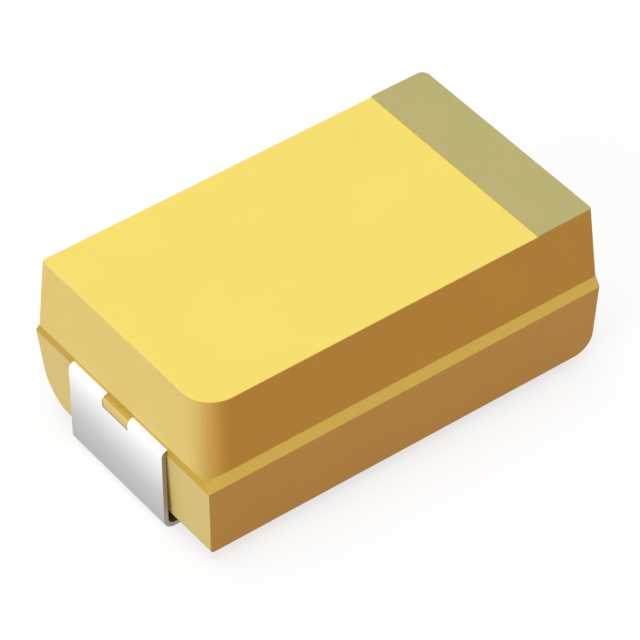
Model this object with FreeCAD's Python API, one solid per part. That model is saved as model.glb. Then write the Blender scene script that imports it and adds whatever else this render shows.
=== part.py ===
# A moulded tantalum chip capacitor for surface mounting, in millimetres.
# X runs from the cathode end (-X) to the anode end (+X, the end with the polarity band),
# Z points up from the circuit board, and the solder feet rest on Z = 0.
# A porous tantalum pellet with its coats sits in a yellow epoxy case. A tantalum wire
# joins it to the anode terminal, and silver adhesive joins it to the cathode terminal.

import FreeCAD, Part
import math
import os

Vector = FreeCAD.Vector

# The epoxy case, at its widest line, where the two halves of the mould met
case_length = 7.10
case_width = 4.30
case_height = 2.88  # top face over the board
standoff = 0.20  # underside over the board
widest_height = 1.45  # widest line over the board
parting_band = 0.16  # height of the sloping band above the widest line

# How far each flank of the case leans in, on one side
band_end_step = 0.01
band_side_step = 0.09
upper_end_draft = 0.07
upper_side_draft = 0.09
lower_end_draft = 0.05
lower_front_draft = 0.07
lower_back_draft = 0.20

# Roundings of the case, seen from above: the cathode end's front corner is the soft one
front_cathode_corner = 0.50
front_anode_corner = 0.04
back_anode_corner = 0.13
back_cathode_corner = 0.04
soft_corner_foot = 0.12  # the soft corner where it runs down to the parting band
crisp_corner_foot = 0.04

# Roundings of the underside: into each end and into the back flank. The front is crisp.
cathode_foot_rounding = 0.06
anode_foot_rounding = 0.30
back_foot_rounding = 0.55

# The printed polarity band on the top face
polarity_band_length = 1.00
ink_thickness = 0.02

# The two terminals, stamped from tinned strip and folded
strip_thickness = 0.08
terminal_width = 2.30
terminal_gap = 0.02  # between the case's widest line and the folded strip
lead_exit_height = 1.52  # middle of the strip where it leaves the case
exit_bend = 0.03  # inner radius of each fold
foot_bend = 0.10
step_bend = 0.07
foot_length = 1.30
foot_corner = 0.12
notch_width = 0.62
notch_depth = 0.21  # below the top of the folded strip
notch_reach = 0.14  # into the case, where the epoxy keys through it
key_setback = 0.015  # how far the epoxy in the notch stands behind the strip's outer face
anode_tab_length = 1.10  # inside the case
anode_tab_width = 1.00
anode_neck_length = 0.35  # full width up to here, inside the case
paddle_width = 2.00
paddle_length = 2.10  # under the pellet

# The pressed and sintered pellet, with the wire in its middle
pellet_length = 4.20
pellet_width = 3.10
pellet_height = 1.60
pellet_rounding = 0.12
pellet_anode_face = 1.65  # where its wire end lies along X

# The coats, from the inside out, and how far each stops short of the wire end
dioxide_thickness = 0.05
graphite_thickness = 0.04
silver_thickness = 0.05
graphite_setback = 0.25
silver_setback = 0.45
adhesive_thickness = 0.06
adhesive_climb = 0.55  # up the cathode end of the pellet
adhesive_setback = 0.12  # from the free end and the sides of the paddle

# The riser wire and the washer on it
wire_diameter = 0.30
wire_embedded = 2.40
weld_length = 0.50
weld_flat = 0.02  # how deep the weld flattens the wire
washer_diameter = 0.90
washer_thickness = 0.15

same_place = 1e-6  # two places this close are the same

# Heights and lengths that follow
band_top = widest_height + parting_band
exit_top = lead_exit_height + strip_thickness / 2
wire_height = exit_top + wire_diameter / 2 - weld_flat
coats = dioxide_thickness + graphite_thickness + silver_thickness
silver_underside = wire_height - pellet_height / 2 - coats
paddle_top = silver_underside - adhesive_thickness
paddle_height = paddle_top - strip_thickness / 2
pellet_cathode_face = pellet_anode_face - pellet_length
silver_end = pellet_cathode_face - coats
leg_face = silver_end - adhesive_thickness
upright_x = case_length / 2 + terminal_gap + strip_thickness / 2
outer_x = upright_x + strip_thickness / 2
tab_end = case_length / 2 - anode_tab_length
wire_end = tab_end + weld_length


def block(low, high):
    # A plain block between two corners
    size = Vector(*high) - Vector(*low)
    return Part.makeBox(size.x, size.y, size.z, Vector(*low))


def drafted_block(foot, top, foot_z, top_z, foot_middle=0):
    # A block on a rectangular foot whose four flanks lean to a rectangular top. The foot's
    # middle can lie to one side along Y.
    def corners(size, middle, z):
        x = size[0] / 2
        low, high = middle - size[1] / 2, middle + size[1] / 2
        return [Vector(-x, low, z), Vector(x, low, z), Vector(x, high, z), Vector(-x, high, z)]

    below = corners(foot, foot_middle, foot_z)
    above = corners(top, 0, top_z)
    loops = [below[::-1], above]
    for i in range(4):
        j = (i + 1) % 4
        loops.append([below[i], below[j], above[j], above[i]])
    faces = [Part.Face(Part.makePolygon(loop + loop[:1])) for loop in loops]
    return Part.Solid(Part.Shell(faces))


def rounded_outline(length, width, z, radii):
    # A rectangle with a radius of its own at each corner: front cathode, front anode,
    # back anode, back cathode
    signs = [(-1, -1), (1, -1), (1, 1), (-1, 1)]
    edges = []
    ends = []
    for (sx, sy), radius in zip(signs, radii):
        centre = Vector(sx * (length / 2 - radius), sy * (width / 2 - radius), z)
        out_x = centre + Vector(sx * radius, 0, 0)
        out_y = centre + Vector(0, sy * radius, 0)
        middle = centre + Vector(sx, sy, 0) * (radius / math.sqrt(2))
        start, end = (out_x, out_y) if sx * sy > 0 else (out_y, out_x)
        ends.append((start, middle, end))
    for i, (start, middle, end) in enumerate(ends):
        edges.append(Part.Arc(start, middle, end).toShape())
        edges.append(Part.makeLine(end, ends[(i + 1) % 4][0]))
    return Part.Wire(edges)


def folded_strip(corners, inner_radii, width):
    # A strip that follows corner points of its middle line in the XZ plane, with a fold
    # of the given inner radius at each inner corner, as wide as stated along Y
    points = [Vector(x, 0, z) for x, z in corners]
    runs = [(b - a).normalize() for a, b in zip(points, points[1:])]

    def side(offset):
        # One face of the strip: its points in order, with the middle of each fold
        def beside(point, run):
            return point + Vector(-run.z, 0, run.x) * offset

        line = [beside(points[0], runs[0])]
        folds = []
        for i, inner in enumerate(inner_radii):
            before, after = runs[i], runs[i + 1]
            turn = before.x * after.z - before.z * after.x
            radius = inner + strip_thickness / 2
            back = radius * math.tan(before.getAngle(after) / 2)
            start = points[i + 1] - before * back
            end = points[i + 1] + after * back
            centre = start + Vector(-before.z, 0, before.x) * math.copysign(radius, turn)
            bisector = (points[i + 1] - centre).normalize()
            reach = radius - math.copysign(offset, turn * offset)
            folds.append((beside(start, before), centre + bisector * reach, beside(end, after)))
        for start, middle, end in folds:
            line += [start, middle, end]
        line.append(beside(points[-1], runs[-1]))
        return line

    def edges_of(line):
        # A straight run, then a fold and a straight run for each fold
        edges = [Part.makeLine(line[0], line[1])]
        for i in range(1, len(line) - 1, 3):
            edges.append(Part.Arc(line[i], line[i + 1], line[i + 2]).toShape())
            edges.append(Part.makeLine(line[i + 2], line[i + 3]))
        return edges

    left = side(strip_thickness / 2)
    right = side(-strip_thickness / 2)
    edges = edges_of(left) + edges_of(right)
    edges += [Part.makeLine(left[0], right[0]), Part.makeLine(left[-1], right[-1])]
    outline = Part.Wire(Part.__sortEdges__(edges))
    strip = Part.Face(outline).extrude(Vector(0, width, 0))
    strip.translate(Vector(0, -width / 2, 0))
    return strip


def upright_edges(shape, x):
    # The upright edges of a shape that stand at one place along X
    found = []
    for edge in shape.Edges:
        ends = [vertex.Point for vertex in edge.Vertexes]
        upright = len(ends) == 2 and abs(ends[0].z - ends[1].z) > same_place
        if upright and all(abs(point.x - x) < same_place for point in ends):
            found.append(edge)
    return found


def terminal(inner_corners, inner_folds, sign):
    # One terminal, its outside the same at both ends: foot, upright, and a notched top
    # fold. The inner corners carry on from the place where the strip enters the case.
    foot_end = outer_x - foot_length
    corners = [
        (foot_end, strip_thickness / 2),
        (upright_x, strip_thickness / 2),
        (upright_x, lead_exit_height),
    ]
    folds = [foot_bend, exit_bend] + inner_folds
    path = [(sign * x, z) for x, z in corners] + inner_corners
    strip = folded_strip(path, folds, terminal_width)
    strip = strip.makeFillet(foot_corner, upright_edges(strip, sign * foot_end))
    notch_inner = case_length / 2 - notch_reach
    low_x, high_x = sorted((sign * notch_inner, sign * (outer_x + strip_thickness)))
    notch = block(
        (low_x, -notch_width / 2, exit_top - notch_depth),
        (high_x, notch_width / 2, exit_top + strip_thickness),
    )
    return strip.cut(notch)


def narrowed(strip, low_x, high_x, width):
    # The strip with both its sides stamped away between two places along X
    for side in (-1, 1):
        near, far = sorted((side * width / 2, side * terminal_width))
        strip = strip.cut(block((low_x, near, 0), (high_x, far, case_height)))
    return strip


def make_cathode_terminal():
    # Inside the case the strip steps down to a paddle that carries the pellet
    leg_x = leg_face - strip_thickness / 2
    paddle_end = silver_end + paddle_length
    inner = [(leg_x, lead_exit_height), (leg_x, paddle_height), (paddle_end, paddle_height)]
    strip = terminal(inner, [step_bend, step_bend], -1)
    shoulder = leg_face - strip_thickness - step_bend
    inside = block(
        (shoulder, -case_width, strip_thickness + standoff),
        (paddle_end + strip_thickness, case_width, case_height),
    )
    outside = strip.cut(inside)
    stepped = narrowed(strip.common(inside), shoulder, paddle_end, paddle_width)
    return outside.fuse(stepped).removeSplitter()


def make_anode_terminal():
    # Inside the case the strip narrows to a tab that the wire is welded on
    strip = terminal([(tab_end, lead_exit_height)], [], 1)
    neck_x = case_length / 2 - anode_neck_length
    inside = block((0, -case_width, lead_exit_height - strip_thickness), (neck_x, case_width, case_height))
    outside = strip.cut(inside)
    tab = narrowed(strip.common(inside), tab_end, neck_x, anode_tab_width)
    return outside.fuse(tab).removeSplitter()


def pellet_form(grown):
    # The pellet's rounded block, grown on all sides by the coats on it
    half_width = pellet_width / 2 + grown
    half_height = pellet_height / 2 + grown
    shape = block(
        (pellet_cathode_face - grown, -half_width, wire_height - half_height),
        (pellet_anode_face + grown, half_width, wire_height + half_height),
    )
    return shape.makeFillet(pellet_rounding + grown, shape.Edges)


def rod(diameter, start_x, end_x):
    # A round rod or disc on the wire's axis
    start = Vector(start_x, 0, wire_height)
    return Part.makeCylinder(diameter / 2, end_x - start_x, start, Vector(1, 0, 0))


def make_cup(outer, inner, rim_x):
    # A coat that covers the form inside it up to a rim short of the wire end
    reach = block((-case_length, -case_width, 0), (rim_x, case_width, case_height))
    return outer.common(reach).cut(inner)


def make_case(inner_pieces):
    # The moulded case: two drafted halves and the sloping parting band between them,
    # moulded face to face round all that it holds
    widest = (case_length, case_width)
    waist = (case_length - 2 * band_end_step, case_width - 2 * band_side_step)
    band = drafted_block(widest, waist, widest_height, band_top)
    crisp = crisp_corner_foot
    upper_foot = rounded_outline(*waist, band_top, (soft_corner_foot, crisp, crisp, crisp))
    upper = Part.makeLoft([upper_foot, top_outline()], True, True)
    whole = make_lower_half().fuse([band, upper, make_key(-1), make_key(1)]).removeSplitter()
    return whole.cut(inner_pieces)


def make_key(sign):
    # The epoxy that fills a terminal's notch, rounded over with the strip's top fold
    outer = sign * (outer_x - key_setback)
    low_x, high_x = sorted((sign * (case_length / 2 - notch_reach), outer))
    top = exit_top - key_setback
    key = block(
        (low_x, -notch_width / 2, exit_top - notch_depth),
        (high_x, notch_width / 2, top),
    )
    middle = Vector(outer, 0, top)
    edges = [edge for edge in key.Edges if edge.CenterOfMass.distanceToPoint(middle) < same_place]
    return key.makeFillet(exit_bend + strip_thickness - key_setback, edges)


def make_lower_half():
    # What two blocks have in common: one leans and is rounded at the ends of the case only,
    # the other at its front and back only
    underside_length = case_length - 2 * lower_end_draft
    underside_width = case_width - lower_front_draft - lower_back_draft
    underside_middle = (lower_front_draft - lower_back_draft) / 2
    beyond_ends = 2 * case_length
    beyond_sides = 2 * case_width
    ends = drafted_block(
        (underside_length, beyond_sides), (case_length, beyond_sides), standoff, widest_height
    )
    ends = round_foot(ends, -underside_length / 2, 0, cathode_foot_rounding)
    ends = round_foot(ends, underside_length / 2, 0, anode_foot_rounding)
    sides = drafted_block(
        (beyond_ends, underside_width),
        (beyond_ends, case_width),
        standoff,
        widest_height,
        underside_middle,
    )
    sides = round_foot(sides, 0, case_width / 2 - lower_back_draft, back_foot_rounding)
    return ends.common(sides)


def round_foot(shape, x, y, radius):
    # Rounds the bottom edge whose middle stands at a place in plan
    middle = Vector(x, y, standoff)
    edges = [edge for edge in shape.Edges if edge.CenterOfMass.distanceToPoint(middle) < same_place]
    return shape.makeFillet(radius, edges)


def top_outline():
    # The outline of the top face, which the polarity band follows too
    length = case_length - 2 * (band_end_step + upper_end_draft)
    width = case_width - 2 * (band_side_step + upper_side_draft)
    radii = (front_cathode_corner, front_anode_corner, back_anode_corner, back_cathode_corner)
    return rounded_outline(length, width, case_height, radii)


def make_polarity_band():
    # A printed film over the anode end of the top face
    end_x = case_length / 2 - band_end_step - upper_end_draft
    start_x = end_x - polarity_band_length
    film = Part.Face(top_outline()).extrude(Vector(0, 0, ink_thickness))
    reach = block((start_x, -case_width, 0), (case_length, case_width, case_height + ink_thickness))
    return film.common(reach)


cathode_terminal = make_cathode_terminal()
anode_terminal = make_anode_terminal()

bare_wire = rod(wire_diameter, pellet_anode_face - wire_embedded, wire_end)
riser_wire = bare_wire.cut(anode_terminal)
washer_end = pellet_anode_face + washer_thickness
washer_blank = rod(washer_diameter, pellet_anode_face, washer_end)
insulating_washer = washer_blank.cut(bare_wire)

pellet_blank = pellet_form(0)
dioxide_form = pellet_form(dioxide_thickness)
graphite_form = pellet_form(dioxide_thickness + graphite_thickness)
silver_form = pellet_form(coats)
graphite_rim = pellet_anode_face - graphite_setback
silver_rim = pellet_anode_face - silver_setback

anode_pellet = pellet_blank.cut(bare_wire)
manganese_dioxide_coat = dioxide_form.cut([pellet_blank, washer_blank])
graphite_coat = make_cup(graphite_form, dioxide_form, graphite_rim)
silver_coat = make_cup(silver_form, graphite_form, silver_rim)

adhesive_bed = block(
    (leg_face, adhesive_setback - paddle_width / 2, paddle_top),
    (
        silver_end + paddle_length - adhesive_setback,
        paddle_width / 2 - adhesive_setback,
        silver_underside + adhesive_climb,
    ),
)
silver_adhesive = adhesive_bed.cut([silver_form, cathode_terminal])

pieces = {
    "cathode_terminal": cathode_terminal,
    "anode_terminal": anode_terminal,
    "riser_wire": riser_wire,
    "insulating_washer": insulating_washer,
    "anode_pellet": anode_pellet,
    "manganese_dioxide_coat": manganese_dioxide_coat,
    "graphite_coat": graphite_coat,
    "silver_coat": silver_coat,
    "silver_adhesive": silver_adhesive,
}
pieces["case"] = make_case(list(pieces.values()))
pieces["polarity_band"] = make_polarity_band()

os.makedirs("parts", exist_ok=True)
for name, shape in pieces.items():
    solids = shape.Solids
    box = shape.BoundBox
    print(
        f"{name}: {len(solids)} solid, valid {shape.isValid()}, {shape.Volume:.4f} mm3,"
        f" x {box.XMin:.3f} {box.XMax:.3f} y {box.YMin:.3f} {box.YMax:.3f}"
        f" z {box.ZMin:.3f} {box.ZMax:.3f}"
    )
    shape.exportStep(f"parts/{name}.step")
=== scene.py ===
import math
import bpy
from mathutils import Matrix, Vector


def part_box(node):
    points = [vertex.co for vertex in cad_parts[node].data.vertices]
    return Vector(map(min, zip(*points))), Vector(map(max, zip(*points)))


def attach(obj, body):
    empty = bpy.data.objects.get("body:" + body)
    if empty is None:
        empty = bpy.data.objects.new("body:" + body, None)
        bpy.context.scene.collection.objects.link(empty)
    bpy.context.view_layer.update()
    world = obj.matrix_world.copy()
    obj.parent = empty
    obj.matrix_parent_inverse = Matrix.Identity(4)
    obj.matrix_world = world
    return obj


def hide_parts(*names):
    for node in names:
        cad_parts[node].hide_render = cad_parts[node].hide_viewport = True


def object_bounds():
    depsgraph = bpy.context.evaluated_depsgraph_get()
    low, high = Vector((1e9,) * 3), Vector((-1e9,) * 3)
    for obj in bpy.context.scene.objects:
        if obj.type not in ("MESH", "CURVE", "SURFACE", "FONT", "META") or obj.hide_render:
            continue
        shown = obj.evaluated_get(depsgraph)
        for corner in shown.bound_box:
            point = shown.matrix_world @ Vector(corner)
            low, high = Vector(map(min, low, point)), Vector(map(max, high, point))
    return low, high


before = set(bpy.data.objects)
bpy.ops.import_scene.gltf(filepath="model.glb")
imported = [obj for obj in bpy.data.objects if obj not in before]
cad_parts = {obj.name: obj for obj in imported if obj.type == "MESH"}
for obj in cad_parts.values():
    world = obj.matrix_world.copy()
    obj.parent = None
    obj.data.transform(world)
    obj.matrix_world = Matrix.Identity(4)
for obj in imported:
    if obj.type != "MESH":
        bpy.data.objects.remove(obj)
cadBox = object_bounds()
print("frame loaded:", len(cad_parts), "nodes")

mm = 0.001  # pieces are modelled in millimetres and brought to metres when they are finished
near = 1e-4  # two places this close, in millimetres, are the same
levelFace = 0.99  # a level face has at least this much of its normal upwards or downwards


# Colours and nodes

# a noise's values lie mostly in one of these ranges: the wide one keeps the softest contrast
wideNoise, middleNoise, narrowNoise = (0.25, 0.75), (0.3, 0.7), (0.35, 0.65)
octaves = {"fine": 2.0, "soft": 3.0, "full": 4.0}  # how many finer layers a noise has


def colour(code):
    # sRGB hex to linear, with alpha
    parts = [int(code[i:i + 2], 16) / 255 for i in (1, 3, 5)]
    linear = [c / 12.92 if c <= 0.04045 else ((c + 0.055) / 1.055) ** 2.4 for c in parts]
    return (*linear, 1.0)


def add(tree, kind, settings=None, *values, **inputs):
    # one node: its settings by name, then its first inputs in order and others by name or by
    # number, such as i6, each as a value or as a link
    node = tree.nodes.new("ShaderNode" + kind)
    for name, value in (settings or {}).items():
        setattr(node, name, value)
    sockets = dict(enumerate(values))
    for name, value in inputs.items():
        sockets[int(name[1:]) if name[1:].isdigit() else name] = value
    for place, value in sockets.items():
        if isinstance(value, bpy.types.NodeSocket):
            tree.links.new(value, node.inputs[place])
        else:
            node.inputs[place].default_value = value
    return node


def newMaterial(name, roughness, metallic=0.0):
    # a material with an empty tree but for its shader and its output
    material = bpy.data.materials.new(name)
    material.use_nodes = True
    tree = material.node_tree
    tree.nodes.clear()
    surface = add(tree, "BsdfPrincipled", Roughness=roughness, Metallic=metallic)
    add(tree, "OutputMaterial", Surface=surface.outputs[0])
    return material, tree, surface


# Selecting and shaping in edit mode

fineEdge = {"steps": 2, "sharpFrom": 50}  # degrees between two faces


def startPiece(name):
    # takes the primitive that was just added, and names it
    piece = bpy.context.object
    piece.name = piece.data.name = name
    bpy.ops.object.mode_set(mode="EDIT")
    return piece


def deselectAll():
    bpy.ops.object.select_all(action="DESELECT")


def pick(piece, kind, test):
    # selects the faces, edges or vertices of the piece that pass a test, in edit mode
    bpy.ops.object.mode_set(mode="EDIT")
    bpy.ops.mesh.select_mode(type=kind)
    bpy.ops.mesh.select_all(action="DESELECT")
    bpy.ops.object.mode_set(mode="OBJECT")
    mesh = piece.data
    for item in {"VERT": mesh.vertices, "EDGE": mesh.edges, "FACE": mesh.polygons}[kind]:
        item.select = test(item)
    bpy.ops.object.mode_set(mode="EDIT")


def applyModifier(piece, kind, **settings):
    modifier = piece.modifiers.new(kind.lower(), kind)
    for name, value in settings.items():
        setattr(modifier, name, value)
    bpy.ops.object.modifier_apply(modifier=modifier.name)


def softenEdges(piece, width):
    applyModifier(piece, "BEVEL", width=width, segments=fineEdge["steps"],
                  angle_limit=math.radians(fineEdge["sharpFrom"]))


def finishPiece(piece, smoothAngle, node):
    # flats stay flat beside rounded edges, and the mesh goes from millimetres to metres
    bpy.ops.object.mode_set(mode="OBJECT")
    bpy.ops.object.shade_smooth_by_angle(angle=math.radians(smoothAngle))
    applyModifier(piece, "WEIGHTED_NORMAL", keep_sharp=True)
    piece.scale = (mm, mm, mm)
    bpy.ops.object.transform_apply(location=False, rotation=False, scale=True)
    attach(piece, "root")
    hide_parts(node)
    print(piece.name, "finished:", len(piece.data.polygons), "faces")


# The moulded epoxy: its skin

# painted shade: for each part of the case, one tone for faces turned up, one for the ends and one
# for the flanks, lighter or browner as the light falls on them
epoxyShadeTones = {
    "upper": {"top": "#f8e06c", "end": "#f2d47b", "side": "#d49639"},
    "band": {"top": "#c4a34d", "end": "#d5ad3f", "side": "#e7c258"},
    "lower": {"top": "#d09845", "end": "#e9cf81", "side": "#d79c47"},
}
epoxyFinish = {
    "litTopRange": (0.35, 0.9),  # the normal's z, squared, where the top's painted lit tone begins and is full
    "cloudsPerMm": 0.9,
    "cloudShade": (0.985, 1.015),
    "grain": 0.04,  # in mm: the filler's own grain, 0.01, drawn coarser so that it shows
    "grainShade": (0.975, 1.025),
    "breakup": (0.55, 0.6),  # how rough the clouds and the grain are
    "bumpHeight": 0.006,
    "bumpStrength": 0.45,
    "speckSpacing": 0.13,  # silica grains at the skin
    "speckRadius": (0.05, 0.16),  # in spacings: full to here, and faded out there
    "speckStrength": 0.07,
    "speckTone": "#fff3c4",
    "roughness": (0.50, 0.62),
    "ior": 1.55,
    "specular": 0.2,
}


def unevenShade(tree, place, finish):
    # soft clouds times a fine grain, as a factor on the colour, and the grain alone
    clouds = add(tree, "TexNoise", Vector=place, Scale=finish["cloudsPerMm"] / mm,
                 Detail=octaves["soft"], Roughness=finish["breakup"][0])
    grain = add(tree, "TexNoise", Vector=place, Scale=1 / (finish["grain"] * mm),
                Detail=octaves["fine"], Roughness=finish["breakup"][1]).outputs["Fac"]
    clouded = add(tree, "MapRange", {}, clouds.outputs["Fac"], *middleNoise, *finish["cloudShade"])
    grained = add(tree, "MapRange", {}, grain, *wideNoise, *finish["grainShade"])
    shade = add(tree, "Math", {"operation": "MULTIPLY"}, clouded.outputs[0], grained.outputs[0])
    return shade.outputs[0], grain


def mouldedEpoxy(name, tones):
    # silica filled epoxy, transfer moulded: matte, with the fine even grain of a spark eroded
    # mould and faint flow clouds. The tone follows the way each place faces, as painted shade:
    # the lit top lightest, the ends paler and the flanks browner, as the light falls on them
    finish = epoxyFinish
    material, tree, surface = newMaterial(name, finish["roughness"][0])
    lookup = add(tree, "TexCoord")
    facing = add(tree, "SeparateXYZ", Vector=lookup.outputs["Normal"])
    # painted shade: the tone mixes from the ends' to the flanks' and then to the lit top's by the
    # way the face turns
    squares = []
    for axis in facing.outputs:
        size = add(tree, "Math", {"operation": "ABSOLUTE"}, axis)
        squares.append(add(tree, "Math", {"operation": "POWER"}, size.outputs[0], 2.0).outputs[0])
    flat = add(tree, "Math", {"operation": "ADD"}, *squares[:2])
    flat = add(tree, "Math", {"operation": "MAXIMUM"}, flat.outputs[0], 0.001)  # never divides by 0
    flankShadeShare = add(tree, "Math", {"operation": "DIVIDE"}, squares[1], flat.outputs[0])
    flankShade = add(tree, "Mix", {"data_type": "RGBA"}, flankShadeShare.outputs[0],
                i6=colour(tones["end"]), i7=colour(tones["side"]))
    litTopShare = add(tree, "MapRange", {}, squares[2], *finish["litTopRange"], 0.0, 1.0)
    tone = add(tree, "Mix", {"data_type": "RGBA"}, litTopShare.outputs[0],
               i6=flankShade.outputs["Result"], i7=colour(tones["top"]))
    shade, grain = unevenShade(tree, lookup.outputs["Object"], finish)
    shaded = add(tree, "VectorMath", {"operation": "SCALE"}, tone.outputs["Result"], Scale=shade)
    specks = add(tree, "TexVoronoi", Vector=lookup.outputs["Object"],
                 Scale=1 / (finish["speckSpacing"] * mm))
    speckShare = add(tree, "MapRange", {}, specks.outputs["Distance"],
                     *finish["speckRadius"], finish["speckStrength"], 0.0)
    skin = add(tree, "Mix", {"data_type": "RGBA"}, speckShare.outputs[0],
               i6=shaded.outputs[0], i7=colour(finish["speckTone"]))
    dull = add(tree, "MapRange", {}, grain, *middleNoise, *finish["roughness"])
    bump = add(tree, "Bump", Height=grain, Distance=finish["bumpHeight"] * mm,
               Strength=finish["bumpStrength"])
    tree.links.new(skin.outputs["Result"], surface.inputs["Base Color"])
    tree.links.new(dull.outputs[0], surface.inputs["Roughness"])
    tree.links.new(bump.outputs[0], surface.inputs["Normal"])
    surface.inputs["IOR"].default_value = finish["ior"]
    surface.inputs["Specular IOR Level"].default_value = finish["specular"]
    return material


upperSkin = mouldedEpoxy("epoxyUpperHalf", epoxyShadeTones["upper"])
# painted shade: the parting band's darker tones stand in for the shade along the seam
seamShadeSkin = mouldedEpoxy("epoxyPartingBandShade", epoxyShadeTones["band"])
lowerSkin = mouldedEpoxy("epoxyLowerHalf", epoxyShadeTones["lower"])


def laySkins(piece, ranges):
    # the upper skin all over, and the others from one height to another
    for skin in (upperSkin, seamShadeSkin, lowerSkin):
        piece.data.materials.append(skin)
    for index, low, high in ranges:
        pick(piece, "FACE", lambda face: low < face.center.z < high)
        piece.active_material_index = index
        bpy.ops.object.material_slot_assign()


# The case

caseLow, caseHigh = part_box("case")
caseShape = {
    "length": 7.10,  # without the two keys in the notches
    "width": (caseHigh.y - caseLow.y) / mm,
    "top": caseHigh.z / mm,
    "underside": caseLow.z / mm,
    "widestHeight": 1.45,  # where the two halves of the mould met
    "bandHeight": 0.16,  # the sloping parting band stands on the widest line
    "waistInset": (0.01, 0.09, 0.09),  # over the band: at each end, at the front, at the back
    "topInset": (0.08, 0.18, 0.18),
    "footInset": (0.05, 0.07, 0.20),
    "softCorner": 0.50,  # front cathode corner of the top face
    "softCornerSteps": 16,
    "softCornerRest": 0.10,  # share of its distance from the sharp corner that is left at the band
    "backAnodeCorner": 0.13,
    "crispCorner": 0.04,
    "crispCornerSteps": 4,
    "cornerReach": 1.1,  # a corner's vertices lie within its radius times this
    "diagonalSlack": 0.01,  # the soft corner's middle vertex lies this near its diagonal
    "footRounding": (0.06, 0.30, 0.55),  # at the cathode end, at the anode end, at the back
    "footSteps": 14,
    "topEdge": 0.012,
    "topEdgeSteps": 4,
    "smoothAngle": 25,
}


def outline(inset, cathodeTuck=0.0, anodeTuck=0.0, backTuck=0.0):
    # low x, high x, low y and high y of the case at one level
    end, front, back = inset
    half, side = caseShape["length"] / 2 - end, caseShape["width"] / 2
    return (cathodeTuck - half, half - anodeTuck, front - side, side - back - backTuck)


def corners(rim):
    # front cathode, front anode, back anode, back cathode
    return [Vector((rim[i], rim[j], 0)) for i, j in ((0, 2), (1, 2), (1, 3), (0, 3))]


def drawIn(piece, level, corner, radius, factors, part=lambda vert: True):
    # draws a rounded corner's vertices at one level towards the sharp corner
    reach = radius * caseShape["cornerReach"]

    def atCorner(vert):
        away = vert.co - corner
        close = abs(away.z - level) < near and max(abs(away.x), abs(away.y)) < reach
        return close and part(vert)

    pick(piece, "VERT", atCorner)
    bpy.ops.transform.resize(value=(*factors, 1), center_override=(corner.x, corner.y, level))


def drawDown(piece, level, newLevel, rim, newRim):
    # draws the lowest face down to a new level, and fits it to the outline there
    pick(piece, "FACE", lambda face: abs(face.center.z - level) < near
         and abs(face.normal.z) > levelFace)
    bpy.ops.mesh.extrude_region_move(TRANSFORM_OT_translate={"value": (0, 0, newLevel - level)})
    stretch = [(newRim[i + 1] - newRim[i]) / (rim[i + 1] - rim[i]) for i in (0, 2)]
    middle = [(rim[i] + rim[i + 1]) / 2 for i in (0, 2)]
    newMiddle = [(newRim[i] + newRim[i + 1]) / 2 for i in (0, 2)]
    bpy.ops.transform.resize(value=(*stretch, 1), center_override=(*middle, newLevel))
    bpy.ops.transform.translate(value=(newMiddle[0] - middle[0], newMiddle[1] - middle[1], 0))


def roundTuck(radius, height):
    # how far a rounding of the underside stands in at a height over it
    drop = max(radius - height, 0)
    return radius - math.sqrt(radius ** 2 - drop ** 2)


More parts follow.
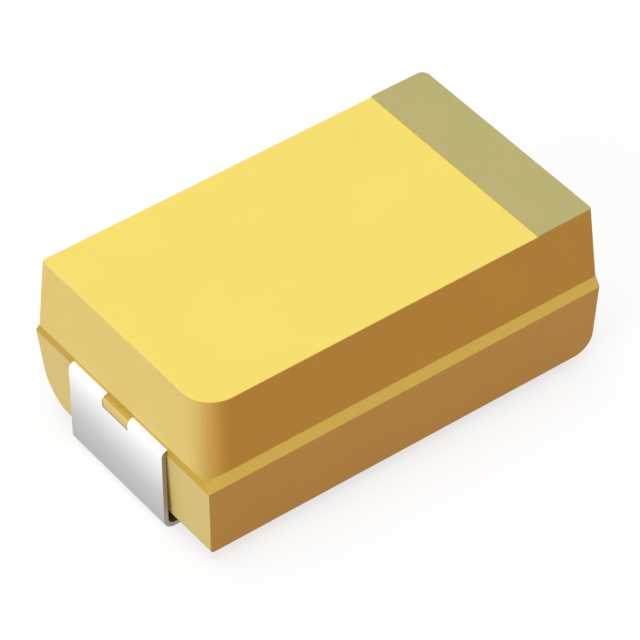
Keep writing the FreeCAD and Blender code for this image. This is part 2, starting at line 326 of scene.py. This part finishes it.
def makeCase():
    soft, crisp = caseShape["softCorner"], caseShape["crispCorner"]
    backAnode = caseShape["backAnodeCorner"]
    top, underside = caseShape["top"], caseShape["underside"]
    widest = caseShape["widestHeight"]
    waist = widest + caseShape["bandHeight"]
    deselectAll()
    bpy.ops.mesh.primitive_plane_add(size=1)
    piece = startPiece("epoxyCase")
    rim = outline(caseShape["topInset"])
    bpy.ops.transform.resize(value=(rim[1] - rim[0], rim[3] - rim[2], 1))
    bpy.ops.transform.translate(value=(0, 0, top))
    for corner, radius in zip(corners(rim), (soft, crisp, backAnode, crisp)):
        steps = caseShape["softCornerSteps" if radius == soft else "crispCornerSteps"]
        pick(piece, "VERT", lambda vert: (vert.co.xy - corner.xy).length < near)
        bpy.ops.mesh.bevel(offset=radius, segments=steps, affect="VERTICES")

    # down to the band: the soft corner closes onto the sharp one, but its facets keep their
    # width, so that it still turns softly from one flank to the other
    newRim = outline(caseShape["waistInset"])
    drawDown(piece, top, waist, rim, newRim)
    front, anodeBack = corners(newRim)[::2]
    rest, slack = caseShape["softCornerRest"], caseShape["diagonalSlack"]

    def overDiagonal(vert):
        return (vert.co.x - front.x) - (vert.co.y - front.y)

    drawIn(piece, waist, front, soft, (rest, rest), lambda vert: abs(overDiagonal(vert)) < slack)
    drawIn(piece, waist, front, soft, (rest, 1), lambda vert: overDiagonal(vert) < -slack)
    drawIn(piece, waist, front, soft, (1, rest), lambda vert: overDiagonal(vert) > slack)
    drawIn(piece, waist, anodeBack, backAnode, (crisp / backAnode, crisp / backAnode))

    # the band's foot, where all four corners are crisp
    rim, newRim = newRim, outline((0, 0, 0))
    drawDown(piece, waist, widest, rim, newRim)
    drawIn(piece, widest, corners(newRim)[0], soft, (crisp / soft, crisp / soft))

    # the lower half, and its roundings into the underside
    level = widest
    for step in range(caseShape["footSteps"] + 1):
        turn = math.pi / 2 * step / caseShape["footSteps"]
        height = max(caseShape["footRounding"]) * (1 - math.sin(turn))
        lean = (widest - underside - height) / (widest - underside)
        inset = [lean * side for side in caseShape["footInset"]]
        tucks = [roundTuck(radius, height) for radius in caseShape["footRounding"]]
        rim, newRim = newRim, outline(inset, *tucks)
        drawDown(piece, level, underside + height, rim, newRim)
        level = underside + height
    pick(piece, "FACE", lambda face: abs(face.center.z - top) < near)
    bpy.ops.mesh.region_to_loop()
    bpy.ops.mesh.bevel(offset=caseShape["topEdge"], segments=caseShape["topEdgeSteps"],
                       affect="EDGES")
    bpy.ops.mesh.select_all(action="SELECT")
    bpy.ops.mesh.normals_make_consistent(inside=False)
    laySkins(piece, ((1, widest, waist), (2, 0, widest)))

    def alongBand(edge):
        ends = [piece.data.vertices[i].co.z for i in edge.vertices]
        return any(all(abs(z - height) < near for z in ends) for height in (widest, waist))

    pick(piece, "EDGE", alongBand)
    bpy.ops.mesh.mark_sharp()
    bpy.ops.object.mode_set(mode="OBJECT")
    return piece


notchKey = {
    "outer": caseHigh.x / mm,
    "inner": 3.46,  # hidden inside the case
    "width": 0.62,
    "low": 1.35,
    "high": 1.545,
    "rounding": 0.095,
    "roundingSteps": 10,
    "bandFrom": 1.506,  # the parting band's painted seam shade runs over its top
}


def makeKey(sign):
    # the epoxy that fills a terminal's notch, rounded over with the strip's top fold
    outer, inner, low, high = (notchKey[name] for name in ("outer", "inner", "low", "high"))
    deselectAll()
    bpy.ops.mesh.primitive_cube_add(size=1)
    piece = startPiece("notchKey")
    bpy.ops.transform.resize(value=(outer - inner, notchKey["width"], high - low))
    bpy.ops.transform.translate(value=(sign * (outer + inner) / 2, 0, (high + low) / 2))

    def atFold(edge):
        ends = [piece.data.vertices[i].co for i in edge.vertices]
        return all(abs(p.x - sign * outer) < near and abs(p.z - high) < near for p in ends)

    pick(piece, "EDGE", atFold)
    bpy.ops.mesh.bevel(offset=notchKey["rounding"], segments=notchKey["roundingSteps"],
                       affect="EDGES")
    laySkins(piece, ((2, 0, notchKey["bandFrom"]), (1, notchKey["bandFrom"], caseShape["top"])))
    bpy.ops.object.mode_set(mode="OBJECT")
    return piece


cornerLight = {
    "start": -0.35,  # where the light begins to turn round the soft corner, in mm, over what width
    "width": 0.72,
    "across": (0.8, -0.6),  # the way in x and y along which it turns
    "reach": 1.2,  # of the corner's radius
    "steepest": 0.3,  # a face with more of its normal upwards keeps its own light
}


def turnSoftly(piece):
    # the soft corner closes to a crisp line at the band, yet the drawing turns its light and
    # its tone over the same width all the way down: the normals turn with the place instead
    mesh = piece.data
    normals = [Vector(corner.vector) for corner in mesh.corner_normals]
    waist = caseShape["widestHeight"] + caseShape["bandHeight"]
    front = corners(outline(caseShape["waistInset"]))[0]
    reach = caseShape["softCorner"] * cornerLight["reach"]
    acrossX, acrossY = cornerLight["across"]
    for face in mesh.polygons:
        if face.center.z / mm < waist or abs(face.normal.z) > cornerLight["steepest"]:
            continue
        for index in face.loop_indices:
            place = mesh.vertices[mesh.loops[index].vertex_index].co / mm
            awayX, awayY = place.x - front.x, place.y - front.y
            if max(abs(awayX), abs(awayY)) > reach:
                continue
            across = awayX * acrossX + awayY * acrossY
            turned = min(max((across - cornerLight["start"]) / cornerLight["width"], 0), 1)
            turn = math.pi / 2 * turned
            normal = Vector((-math.cos(turn), -math.sin(turn), normals[index].z))
            normals[index] = normal.normalized()
    mesh.normals_split_custom_set(normals)


case = makeCase()
keys = [makeKey(-1), makeKey(1)]
deselectAll()
for piece in keys + [case]:
    piece.select_set(True)
bpy.context.view_layer.objects.active = case
bpy.ops.object.join()
finishPiece(case, caseShape["smoothAngle"], "case")
turnSoftly(case)


# The printed polarity band

bandLow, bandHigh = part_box("polarity_band")
ink = {
    "start": bandLow.x / mm,
    "thickness": (bandHigh.z - bandLow.z) / mm,
    "cornerSteps": 6,
    "softEdge": 0.006,
    "smoothAngle": 30,
    "tone": "#bbb174",
    "cloudsPerMm": 1.3,
    "cloudShade": (0.98, 1.02),
    "grain": 0.04,  # in mm, as on the epoxy
    "grainShade": (0.97, 1.03),
    "breakup": (0.5, 0.5),
    "bumpHeight": 0.004,
    "bumpStrength": 0.4,
    "roughness": 0.6,
    "specular": 0.2,
}


def screenInk():
    # matt olive screen ink: a thin film that lets the epoxy's grain through, a little cloudy,
    # with the fine unevenness that the mesh of the screen leaves
    material, tree, surface = newMaterial("screenInk", ink["roughness"])
    shade, grain = unevenShade(tree, add(tree, "TexCoord").outputs["Object"], ink)
    film = add(tree, "VectorMath", {"operation": "SCALE"}, colour(ink["tone"])[:3], Scale=shade)
    bump = add(tree, "Bump", Height=grain, Distance=ink["bumpHeight"] * mm,
               Strength=ink["bumpStrength"])
    tree.links.new(film.outputs[0], surface.inputs["Base Color"])
    tree.links.new(bump.outputs[0], surface.inputs["Normal"])
    surface.inputs["Specular IOR Level"].default_value = ink["specular"]
    return material


def makeInk():
    # printed over the anode end of the top face: the top face again, cut and lifted
    deselectAll()
    bpy.ops.mesh.primitive_plane_add(size=1)
    piece = startPiece("polarityInk")
    rim = outline(caseShape["topInset"])
    bpy.ops.transform.resize(value=(rim[1] - ink["start"], rim[3] - rim[2], 1))
    bpy.ops.transform.translate(value=((rim[1] + ink["start"]) / 2, 0, caseShape["top"]))
    radii = (caseShape["crispCorner"], caseShape["backAnodeCorner"])
    for corner, radius in zip(corners(rim)[1:3], radii):
        pick(piece, "VERT", lambda vert: (vert.co.xy - corner.xy).length < near)
        bpy.ops.mesh.bevel(offset=radius, segments=ink["cornerSteps"], affect="VERTICES")
    bpy.ops.object.mode_set(mode="OBJECT")
    applyModifier(piece, "SOLIDIFY", thickness=ink["thickness"], offset=1.0)
    softenEdges(piece, ink["softEdge"])
    piece.data.materials.append(screenInk())
    return piece


finishPiece(makeInk(), ink["smoothAngle"], "polarity_band")


# The folded terminals

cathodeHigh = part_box("cathode_terminal")[1]
lead = {
    "thickness": 0.08,
    "width": 2.30,
    "outer": -cadBox[0].x / mm,  # outer face of the upright
    "top": cathodeHigh.z / mm,
    "footLength": 1.30,
    "footBend": 0.10,  # inner radius of each fold
    "exitBend": 0.03,
    "stepBend": 0.07,
    "bendSteps": 8,
    "footCorner": 0.12,
    "footCornerSteps": 6,
    "notchWidth": 0.62,
    "notchDepth": 0.21,
    "notchReach": 0.14,  # into the case
    "softEdge": 0.008,
    "smoothAngle": 30,
    "legX": -2.79,  # middle of the step down, inside the case
    "paddleZ": 0.65,
    "paddleEnd": cathodeHigh.x / mm,
    "paddleWidth": 2.00,
    "tabLength": 1.10,
    "neckLength": 0.35,
    "tabWidth": 1.00,
}
tinFinish = {
    # painted reflection: the plating's tone runs from white at the top fold to grey towards the
    # board
    "paintedReflectionRamp": ((0.0, "#fbfbfb"), (0.33, "#e3e3e3"), (0.66, "#cacaca"), (1.0, "#babab9")),
    "rampHeights": (1.44, 0.26),  # where it starts and ends, in mm over the board
    "linesPerMm": 2.0,
    "lineStretch": (1, 14, 1),  # finer across the strip than along it
    "lineShade": (0.98, 1.012),
    "grain": 0.04,
    "bumpHeight": 0.003,
    "bumpStrength": 0.3,
    "roughness": (0.36, 0.48),
}
shearFinish = {
    "tones": ("#a1968e", "#b2a79f"),
    "marks": 0.03,  # in mm
    "bumpHeight": 0.004,
    "bumpStrength": 0.4,
    "roughness": 0.5,
}


def matteTin():
    # matte tin over nickel iron strip: a soft white metal with faint rolling lines along the
    # strip, and a painted reflection: brightest at the top fold and greyer down towards the board
    finish = tinFinish
    material, tree, surface = newMaterial("matteTin", finish["roughness"][0], 1.0)
    place = add(tree, "TexCoord").outputs["Object"]
    height = add(tree, "SeparateXYZ", Vector=place).outputs["Z"]
    rampStart, rampEnd = (z * mm for z in finish["rampHeights"])
    # painted reflection, by height: lighter at the top fold, greyer lower down
    down = add(tree, "MapRange", {}, height, rampStart, rampEnd, 0.0, 1.0)
    paintedReflectionRamp = add(tree, "ValToRGB", {}, down.outputs[0])
    stops = paintedReflectionRamp.color_ramp.elements
    for position, code in finish["paintedReflectionRamp"][1:-1]:
        stops.new(position).color = colour(code)
    stops[0].color, stops[-1].color = (colour(finish["paintedReflectionRamp"][end][1]) for end in (0, -1))
    stretched = add(tree, "Mapping", Vector=place, Scale=finish["lineStretch"])
    lines = add(tree, "TexNoise", Vector=stretched.outputs[0], Scale=finish["linesPerMm"] / mm,
                Detail=octaves["full"])
    lineShade = add(tree, "MapRange", {}, lines.outputs["Fac"], *middleNoise, *finish["lineShade"])
    plated = add(tree, "VectorMath", {"operation": "SCALE"}, paintedReflectionRamp.outputs[0],
                 Scale=lineShade.outputs[0])
    grain = add(tree, "TexNoise", Vector=place, Scale=1 / (finish["grain"] * mm),
                Detail=octaves["fine"]).outputs["Fac"]
    dull = add(tree, "MapRange", {}, grain, *middleNoise, *finish["roughness"])
    bump = add(tree, "Bump", Height=grain, Distance=finish["bumpHeight"] * mm,
               Strength=finish["bumpStrength"])
    tree.links.new(plated.outputs[0], surface.inputs["Base Color"])
    tree.links.new(dull.outputs[0], surface.inputs["Roughness"])
    tree.links.new(bump.outputs[0], surface.inputs["Normal"])
    return material


def shearedEdge():
    # the stamped edge of the strip, where the punch left the nickel iron bare: brownish grey,
    # with fine shear marks through the strip's thickness
    finish = shearFinish
    material, tree, surface = newMaterial("shearedNickelIron", finish["roughness"], 1.0)
    dark, light = (colour(code) for code in finish["tones"])
    marks = add(tree, "TexNoise", Vector=add(tree, "TexCoord").outputs["Object"],
                Scale=1 / (finish["marks"] * mm), Detail=octaves["fine"]).outputs["Fac"]
    tone = add(tree, "Mix", {"data_type": "RGBA"}, marks, i6=dark, i7=light)
    bump = add(tree, "Bump", Height=marks, Distance=finish["bumpHeight"] * mm,
               Strength=finish["bumpStrength"])
    tree.links.new(tone.outputs["Result"], surface.inputs["Base Color"])
    tree.links.new(bump.outputs[0], surface.inputs["Normal"])
    return material


def across(piece, x, z):
    # a test for edges that lie across the strip at one place of its middle line
    def test(edge):
        ends = [piece.data.vertices[i].co for i in edge.vertices]
        crossing = abs(ends[0].y - ends[1].y) > near
        return crossing and all(abs(p.x - x) < near and abs(p.z - z) < near for p in ends)
    return test


def runTo(piece, start, end):
    # draws the strip's end edge straight on
    pick(piece, "EDGE", across(piece, *start))
    bpy.ops.mesh.extrude_region_move(
        TRANSFORM_OT_translate={"value": (end.x - start.x, 0, end.y - start.y)})


def foldRound(piece, start, centre, end):
    # folds the strip's end edge round a centre
    pick(piece, "EDGE", across(piece, *start))
    turn = (end - centre).angle_signed(start - centre)
    bpy.ops.mesh.spin(steps=lead["bendSteps"], angle=turn, center=(centre.x, 0, centre.y),
                      axis=(0, 1, 0))


def cutAcross(place, direction):
    bpy.ops.mesh.select_all(action="SELECT")
    bpy.ops.mesh.bisect(plane_co=place, plane_no=direction)


def makeLead(name, path, innerRadii, innerWidth, shoulder):
    # a strip that follows its middle line, given as corner points in x and z from its foot on
    half = lead["thickness"] / 2
    path = [Vector(point) for point in path]
    sign = math.copysign(1, path[0].x)
    folds = []
    for before, corner, after, inner in zip(path, path[1:], path[2:], innerRadii):
        inward, outward = (corner - before).normalized(), (after - corner).normalized()
        radius = inner + half
        start = corner - inward * radius
        folds.append((start, start + outward * radius, corner + outward * radius))
    deselectAll()
    bpy.ops.mesh.primitive_plane_add(size=1)
    piece = startPiece(name)
    foot = path[0]
    place = folds[0][0]
    bpy.ops.transform.resize(value=(abs(place.x - foot.x), lead["width"], 1))
    bpy.ops.transform.translate(value=((place.x + foot.x) / 2, 0, half))
    for width in (lead["notchWidth"], innerWidth):
        for side in (-1, 1):
            cutAcross((0, side * width / 2, 0), (0, 1, 0))
    for start, centre, end in folds:
        if (start - place).length > near:
            runTo(piece, place, start)
        foldRound(piece, start, centre, end)
        place = end
    runTo(piece, place, path[-1])
    notchFoot = lead["top"] - lead["notchDepth"]
    notchEnd = caseShape["length"] / 2 - lead["notchReach"]
    cutAcross((0, 0, notchFoot), (0, 0, 1))
    cutAcross((sign * notchEnd, 0, 0), (1, 0, 0))
    cutAcross((shoulder, 0, 0), (1, 0, 0))
    bpy.ops.mesh.select_all(action="SELECT")
    bpy.ops.mesh.remove_doubles(threshold=near / 10)

    def stampedAway(face):
        # the notch, and the sides of the strip inside the case
        x, y, z = abs(face.center.x), abs(face.center.y), face.center.z
        notched = y < lead["notchWidth"] / 2 and z > notchFoot and x > notchEnd
        trimmed = y > innerWidth / 2 and x < abs(shoulder) and z > lead["thickness"]
        return notched or trimmed

    def atFootCorner(vert):
        atEnd = abs(vert.co.x - foot.x) < near and abs(vert.co.z - half) < near
        return atEnd and abs(vert.co.y) > lead["width"] / 2 - near

    pick(piece, "FACE", stampedAway)
    bpy.ops.mesh.delete(type="FACE")
    pick(piece, "VERT", atFootCorner)
    bpy.ops.mesh.bevel(offset=lead["footCorner"], segments=lead["footCornerSteps"],
                       affect="VERTICES")
    bpy.ops.mesh.select_all(action="SELECT")
    bpy.ops.mesh.normals_make_consistent(inside=False)
    bpy.ops.object.mode_set(mode="OBJECT")
    piece.data.materials.append(tinPlate)
    piece.data.materials.append(bareEdge)
    applyModifier(piece, "SOLIDIFY", thickness=lead["thickness"], offset=0.0,
                  use_even_offset=True, material_offset_rim=1)
    softenEdges(piece, lead["softEdge"])
    return piece


tinPlate = matteTin()
bareEdge = shearedEdge()
halfStrip = lead["thickness"] / 2
caseEnd = caseShape["length"] / 2
footEnd = lead["outer"] - lead["footLength"]
upright, exitZ = lead["outer"] - halfStrip, lead["top"] - halfStrip
outerBends = [lead["footBend"], lead["exitBend"]]
innerBends = [lead["stepBend"], lead["stepBend"]]
cathodePath = [(-footEnd, halfStrip), (-upright, halfStrip), (-upright, exitZ),
               (lead["legX"], exitZ), (lead["legX"], lead["paddleZ"]),
               (lead["paddleEnd"], lead["paddleZ"])]
anodePath = [(footEnd, halfStrip), (upright, halfStrip), (upright, exitZ),
             (caseEnd - lead["tabLength"], exitZ)]
cathodeLead = makeLead("cathodeLead", cathodePath, outerBends + innerBends, lead["paddleWidth"],
                       lead["legX"] - halfStrip - lead["stepBend"])
finishPiece(cathodeLead, lead["smoothAngle"], "cathode_terminal")
anodeLead = makeLead("anodeLead", anodePath, outerBends, lead["tabWidth"],
                     caseEnd - lead["neckLength"])
finishPiece(anodeLead, lead["smoothAngle"], "anode_terminal")


# What the case holds: these keep the shapes of the frame, and get their real surfaces here

insideBump = 0.6  # strength, of heights in mm
# dark tone, light tone, grain in mm, roughness, metallic, height of the grain in mm, and stretch
insideSurfaces = {
    # pressed and sintered tantalum powder: dark, sponge like grains with no shine between them
    "anode_pellet": ("#5a5a5e", "#6f6f73", 0.06, 0.75, 0.6, 0.02),
    # drawn tantalum: blue grey metal with fine lines along the wire
    "riser_wire": ("#9a9ca2", "#adafb5", 0.05, 0.35, 1.0, 0.002, (0.05, 1, 1)),
    # fluoropolymer skived from a rod: white, waxy, with faint knife lines
    "insulating_washer": ("#ece9e4", "#f6f4f0", 0.08, 0.45, 0.0, 0.003, (1, 4, 1)),
    # baked on in many dips: dull black, lumpy crust
    "manganese_dioxide_coat": ("#1f1d1c", "#2e2b29", 0.09, 0.8, 0.0, 0.02),
    # dried graphite paint: dark grey flakes with a slight sheen
    "graphite_coat": ("#35353a", "#4a4a4f", 0.05, 0.5, 0.3, 0.006),
    # dried silver paint: pale satin metal flakes
    "silver_coat": ("#c4c0b8", "#d8d5ce", 0.05, 0.45, 0.8, 0.008),
    # cured silver filled adhesive: duller than the paint, with filler lumps
    "silver_adhesive": ("#a8a49b", "#c0bcb3", 0.09, 0.6, 0.6, 0.015),
}


def grainedSurface(name, darkTone, lightTone, grainSize, roughness, metallic, grainHeight,
                   stretch=(1, 1, 1)):
    # two tones mixed by a grain, with its bumps
    material, tree, surface = newMaterial(name, roughness, metallic)
    place = add(tree, "TexCoord").outputs["Object"]
    stretched = add(tree, "Mapping", Vector=place, Scale=stretch)
    grain = add(tree, "TexNoise", Vector=stretched.outputs[0], Scale=1 / (grainSize * mm),
                Detail=octaves["full"]).outputs["Fac"]
    share = add(tree, "MapRange", {}, grain, *narrowNoise, 0.0, 1.0)
    tone = add(tree, "Mix", {"data_type": "RGBA"}, share.outputs[0],
               i6=colour(darkTone), i7=colour(lightTone))
    bump = add(tree, "Bump", Height=grain, Distance=grainHeight * mm, Strength=insideBump)
    tree.links.new(tone.outputs["Result"], surface.inputs["Base Color"])
    tree.links.new(bump.outputs[0], surface.inputs["Normal"])
    return material


for node, settings in insideSurfaces.items():
    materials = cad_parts[node].data.materials
    materials.clear()
    materials.append(grainedSurface(node + "Surface", *settings))
print("inside surfaces set:", len(insideSurfaces))


# Floor, light and camera: sizes and places in metres, powers in watts

light = {
    "room": 0.50,  # strength of the world on the object
    "overheadBox": {"place": (-0.02, 0.02, 0.25), "size": 0.2, "power": 0.26},
    "leftBox": {"place": (-0.22, -0.04, 0.12), "size": 0.15, "power": 0.205},
    "floorSize": 1.0,
    "floorDrop": 0.005 * mm,  # just under the feet
    "floorRoughness": 0.9,
    "floorTone": "#c3c3c3",
    "floorSeenTone": "#969696",  # darker where it is seen, so that the glow leaves the shadow soft
    "floorGlow": (0.72, 0.86),  # lifts it to white where it is seen, more where the lamps fade
    "glowDistances": (0.05, 0.40),
}


def seenDirectly(tree):
    # 1 for what the camera sees, itself or in metal and glass
    path = add(tree, "LightPath")
    seen = path.outputs["Is Camera Ray"]
    for kind in ("Is Glossy Ray", "Is Transmission Ray"):
        seen = add(tree, "Math", {"operation": "MAXIMUM"}, seen, path.outputs[kind]).outputs[0]
    return seen


def makeFloor():
    deselectAll()
    bpy.ops.mesh.primitive_plane_add(size=light["floorSize"], location=(0, 0, -light["floorDrop"]))
    floor = startPiece("floor")
    bpy.ops.object.mode_set(mode="OBJECT")
    material, tree, surface = newMaterial("paleFloor", light["floorRoughness"])
    seen = seenDirectly(tree)
    tone = add(tree, "Mix", {"data_type": "RGBA"}, seen,
               i6=colour(light["floorTone"]), i7=colour(light["floorSeenTone"]))
    tree.links.new(tone.outputs["Result"], surface.inputs["Base Color"])
    surface.inputs["Specular IOR Level"].default_value = 0.0
    place = add(tree, "TexCoord").outputs["Object"]
    away = add(tree, "VectorMath", {"operation": "LENGTH"}, place)
    fade = add(tree, "MapRange", {}, away.outputs["Value"],
               *light["glowDistances"], *light["floorGlow"])
    lift = add(tree, "Math", {"operation": "MULTIPLY"}, seen, fade.outputs[0])
    glow = add(tree, "Emission", Color=(1, 1, 1, 1), Strength=lift.outputs[0])
    output = surface.outputs[0].links[0].to_node
    both = add(tree, "AddShader", {}, surface.outputs[0], glow.outputs[0])
    tree.links.new(both.outputs[0], output.inputs["Surface"])
    floor.data.materials.append(material)


def makeWorld():
    world = bpy.data.worlds.new("softRoom")
    world.use_nodes = True
    tree = world.node_tree
    tree.nodes.clear()
    strength = add(tree, "MapRange", {}, seenDirectly(tree), 0.0, 1.0, light["room"], 1.0)
    back = add(tree, "Background", Color=(1, 1, 1, 1), Strength=strength.outputs[0])
    add(tree, "OutputWorld", Surface=back.outputs[0])
    bpy.context.scene.world = world


def addLamp(name, place, size, power):
    # a square soft box that faces the object
    lampData = bpy.data.lights.new(name, "AREA")
    lampData.size = size
    lampData.energy = power
    lamp = bpy.data.objects.new(name, lampData)
    bpy.context.scene.collection.objects.link(lamp)
    lamp.location = place
    lamp.rotation_euler = Vector(place).to_track_quat("Z", "Y").to_euler()


makeFloor()
makeWorld()
for name in ("overheadBox", "leftBox"):
    addLamp(name, **light[name])

cameraView = {
    "azimuth": -36.705,
    "elevation": 42.970,
    "roll": -0.547,
    "distance": 64.376 * mm,
    "aim": (0.015 * mm, 0, 1.192 * mm),
    "lens": 247.37,
    "clipStart": 1 * mm,
}
turned = Matrix.Rotation(math.radians(cameraView["azimuth"]), 4, "Z") \
    @ Matrix.Rotation(math.radians(90 - cameraView["elevation"]), 4, "X") \
    @ Matrix.Rotation(math.radians(cameraView["roll"]), 4, "Z")
cameraData = bpy.data.cameras.new("camera")
cameraData.lens = cameraView["lens"]
cameraData.clip_start = cameraView["clipStart"]
camera = bpy.data.objects.new("camera", cameraData)
bpy.context.scene.collection.objects.link(camera)
camera.matrix_world = Matrix.Translation(cameraView["aim"]) @ turned \
    @ Matrix.Translation((0, 0, cameraView["distance"]))
bpy.context.scene.camera = camera
bpy.context.scene.view_settings.view_transform = "Standard"
print("stage, lamps and camera set")
